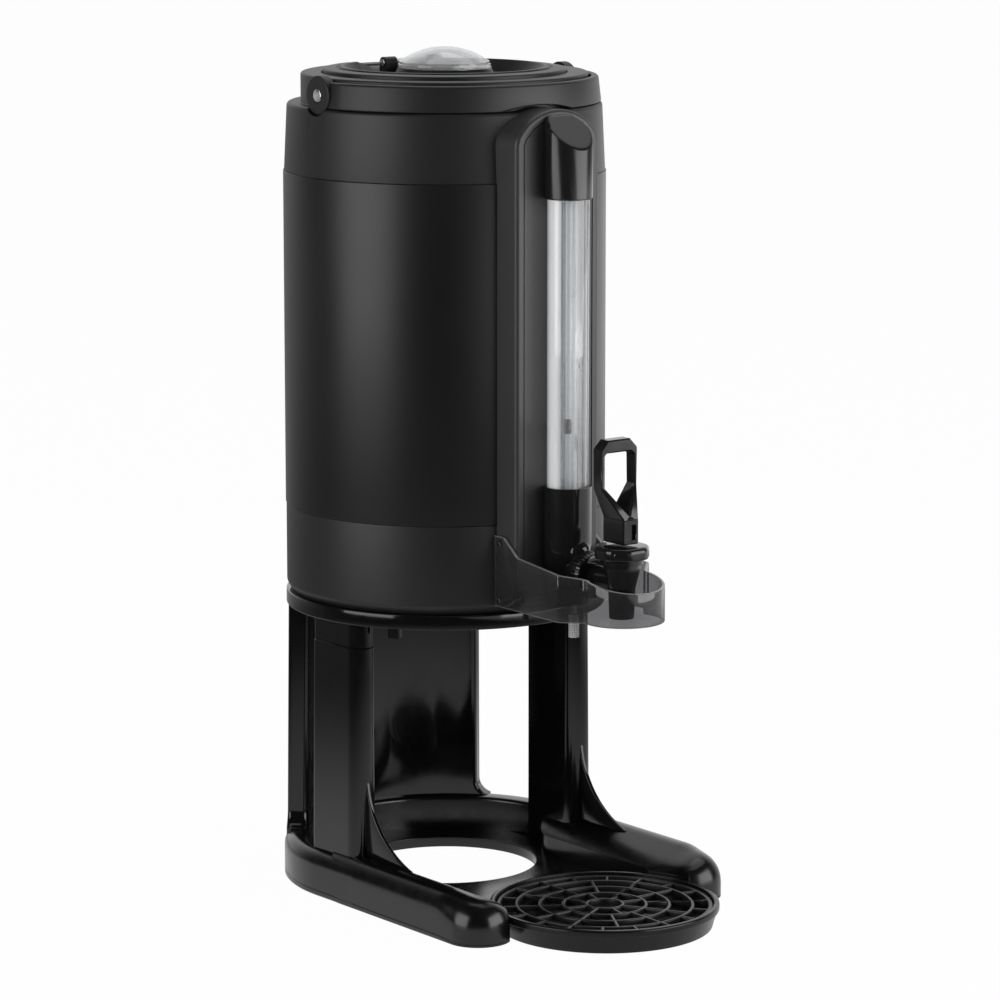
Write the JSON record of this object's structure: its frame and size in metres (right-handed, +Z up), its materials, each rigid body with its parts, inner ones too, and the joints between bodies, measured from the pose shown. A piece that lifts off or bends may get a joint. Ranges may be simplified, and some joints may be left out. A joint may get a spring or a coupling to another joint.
{
  "type": "coffee dispenser",
  "caption": "Dark thermal coffee dispenser with a level gauge and lever tap, on a black stand with a round drip tray.",
  "frame": {"origin": "middle of the footprint on the floor", "axes": "+Z up, -Y to the front where the tap is, +X to the right of a person who faces the front"},
  "size_m": [0.238, 0.387, 0.607],
  "materials": {
    "stand_black": "polished black plastic",
    "tap_black": "polished black plastic",
    "body_black": "satin dark grey plastic",
    "shell_grey": "satin dark grey coat on steel",
    "steel": "brushed",
    "bright_metal": "bright",
    "rubber": "matte",
    "clear": "clear plastic",
    "smoke_clear": "smoked clear plastic",
    "float_black": "matte"
  },
  "bodies": {
    "stand": {"stand_base": "stand_black", "column_left": "stand_black", "column_right": "stand_black", "rear_panel": "stand_black", "seat_ring": "stand_black", "stand_screws": "steel", "stand_pads": "rubber"},
    "tray": {"drip_tray": "stand_black"},
    "grille": {"drip_grille": "stand_black"},
    "handle": {"bail_handle": "body_black"},
    "lid": {"lid_top": "body_black", "lid_base": "body_black", "lid_gasket": "rubber", "dome_pin": "bright_metal"},
    "dome": {"dome_cover": "clear"},
    "lever": {"tap_lever": "tap_black"},
    "stem": {"tap_stem": "steel", "seat_cup": "rubber"},
    "float": {"gauge_float": "float_black"},
    "thumb": {"thumb_screw": "bright_metal"},
    "dispenser": {"bottom_cover": "body_black", "body_pegs": "rubber", "cover_screws": "steel", "lower_band": "body_black", "outer_shell": "shell_grey", "upper_collar": "body_black", "vacuum_jacket": "steel", "inner_liner": "steel", "liner_seat": "rubber", "liner_gasket": "rubber", "outlet_tube": "steel", "outlet_grommet": "rubber", "handle_pins": "bright_metal", "gauge_housing": "body_black", "gauge_cap": "body_black", "gauge_shield": "clear", "gauge_glass": "clear", "gauge_seals": "rubber", "gauge_socket": "tap_black", "tap_body": "tap_black", "shank_nut": "tap_black", "tap_bonnet": "tap_black", "lever_pin": "steel", "stem_guide": "tap_black", "stem_spring": "steel", "tap_guard": "smoke_clear", "guard_rivets": "bright_metal"}
  },
  "joints": [
    {"name": "tray_draw", "type": "slide", "parent": "stand", "child": "tray", "axis": [0, -1, 0], "range_m": [0, 0.12]},
    {"name": "grille_lift", "type": "slide", "parent": "tray", "child": "grille", "axis": [0, 0, 1], "range_m": [0, 0.05]},
    {"name": "dispenser_lift", "type": "slide", "parent": "stand", "child": "dispenser", "axis": [0, 0, 1], "range_m": [0, 0.08]},
    {"name": "handle_swing", "type": "hinge", "parent": "dispenser", "child": "handle", "pos_m": [0, 0.0745, 0.5774], "axis": [-1, 0, 0], "range_deg": [0, 168]},
    {"name": "lid_lift", "type": "slide", "parent": "dispenser", "child": "lid", "axis": [0, 0, 1], "range_m": [0, 0.06]},
    {"name": "dome_hinge", "type": "hinge", "parent": "lid", "child": "dome", "pos_m": [0, 0.1148, 0.5939], "axis": [-1, 0, 0], "range_deg": [0, 110]},
    {"name": "lever_tip", "type": "hinge", "parent": "dispenser", "child": "lever", "pos_m": [0, -0.139, 0.2706], "axis": [1, 0, 0], "range_deg": [0, 25], "stiffness_Nm_per_rad": 0.6, "springref_deg": -11.46},
    {"name": "stem_rise", "type": "slide", "parent": "dispenser", "child": "stem", "axis": [0, 0, 1], "range_m": [0, 0.0042], "deforming": ["stem_spring"]},
    {"name": "float_ride", "type": "slide", "parent": "dispenser", "child": "float", "axis": [0, 0, 1], "range_m": [-0.04, 0.15]},
    {"name": "thumb_turn", "type": "hinge", "parent": "dispenser", "child": "thumb", "pos_m": [0, -0.0765, 0.21], "axis": [0, 0, 1], "continuous": true}
  ],
  "couplings": [
    {"joint": "stem_rise", "follows": "lever_tip", "m_per_rad": 0.009167}
  ]
}
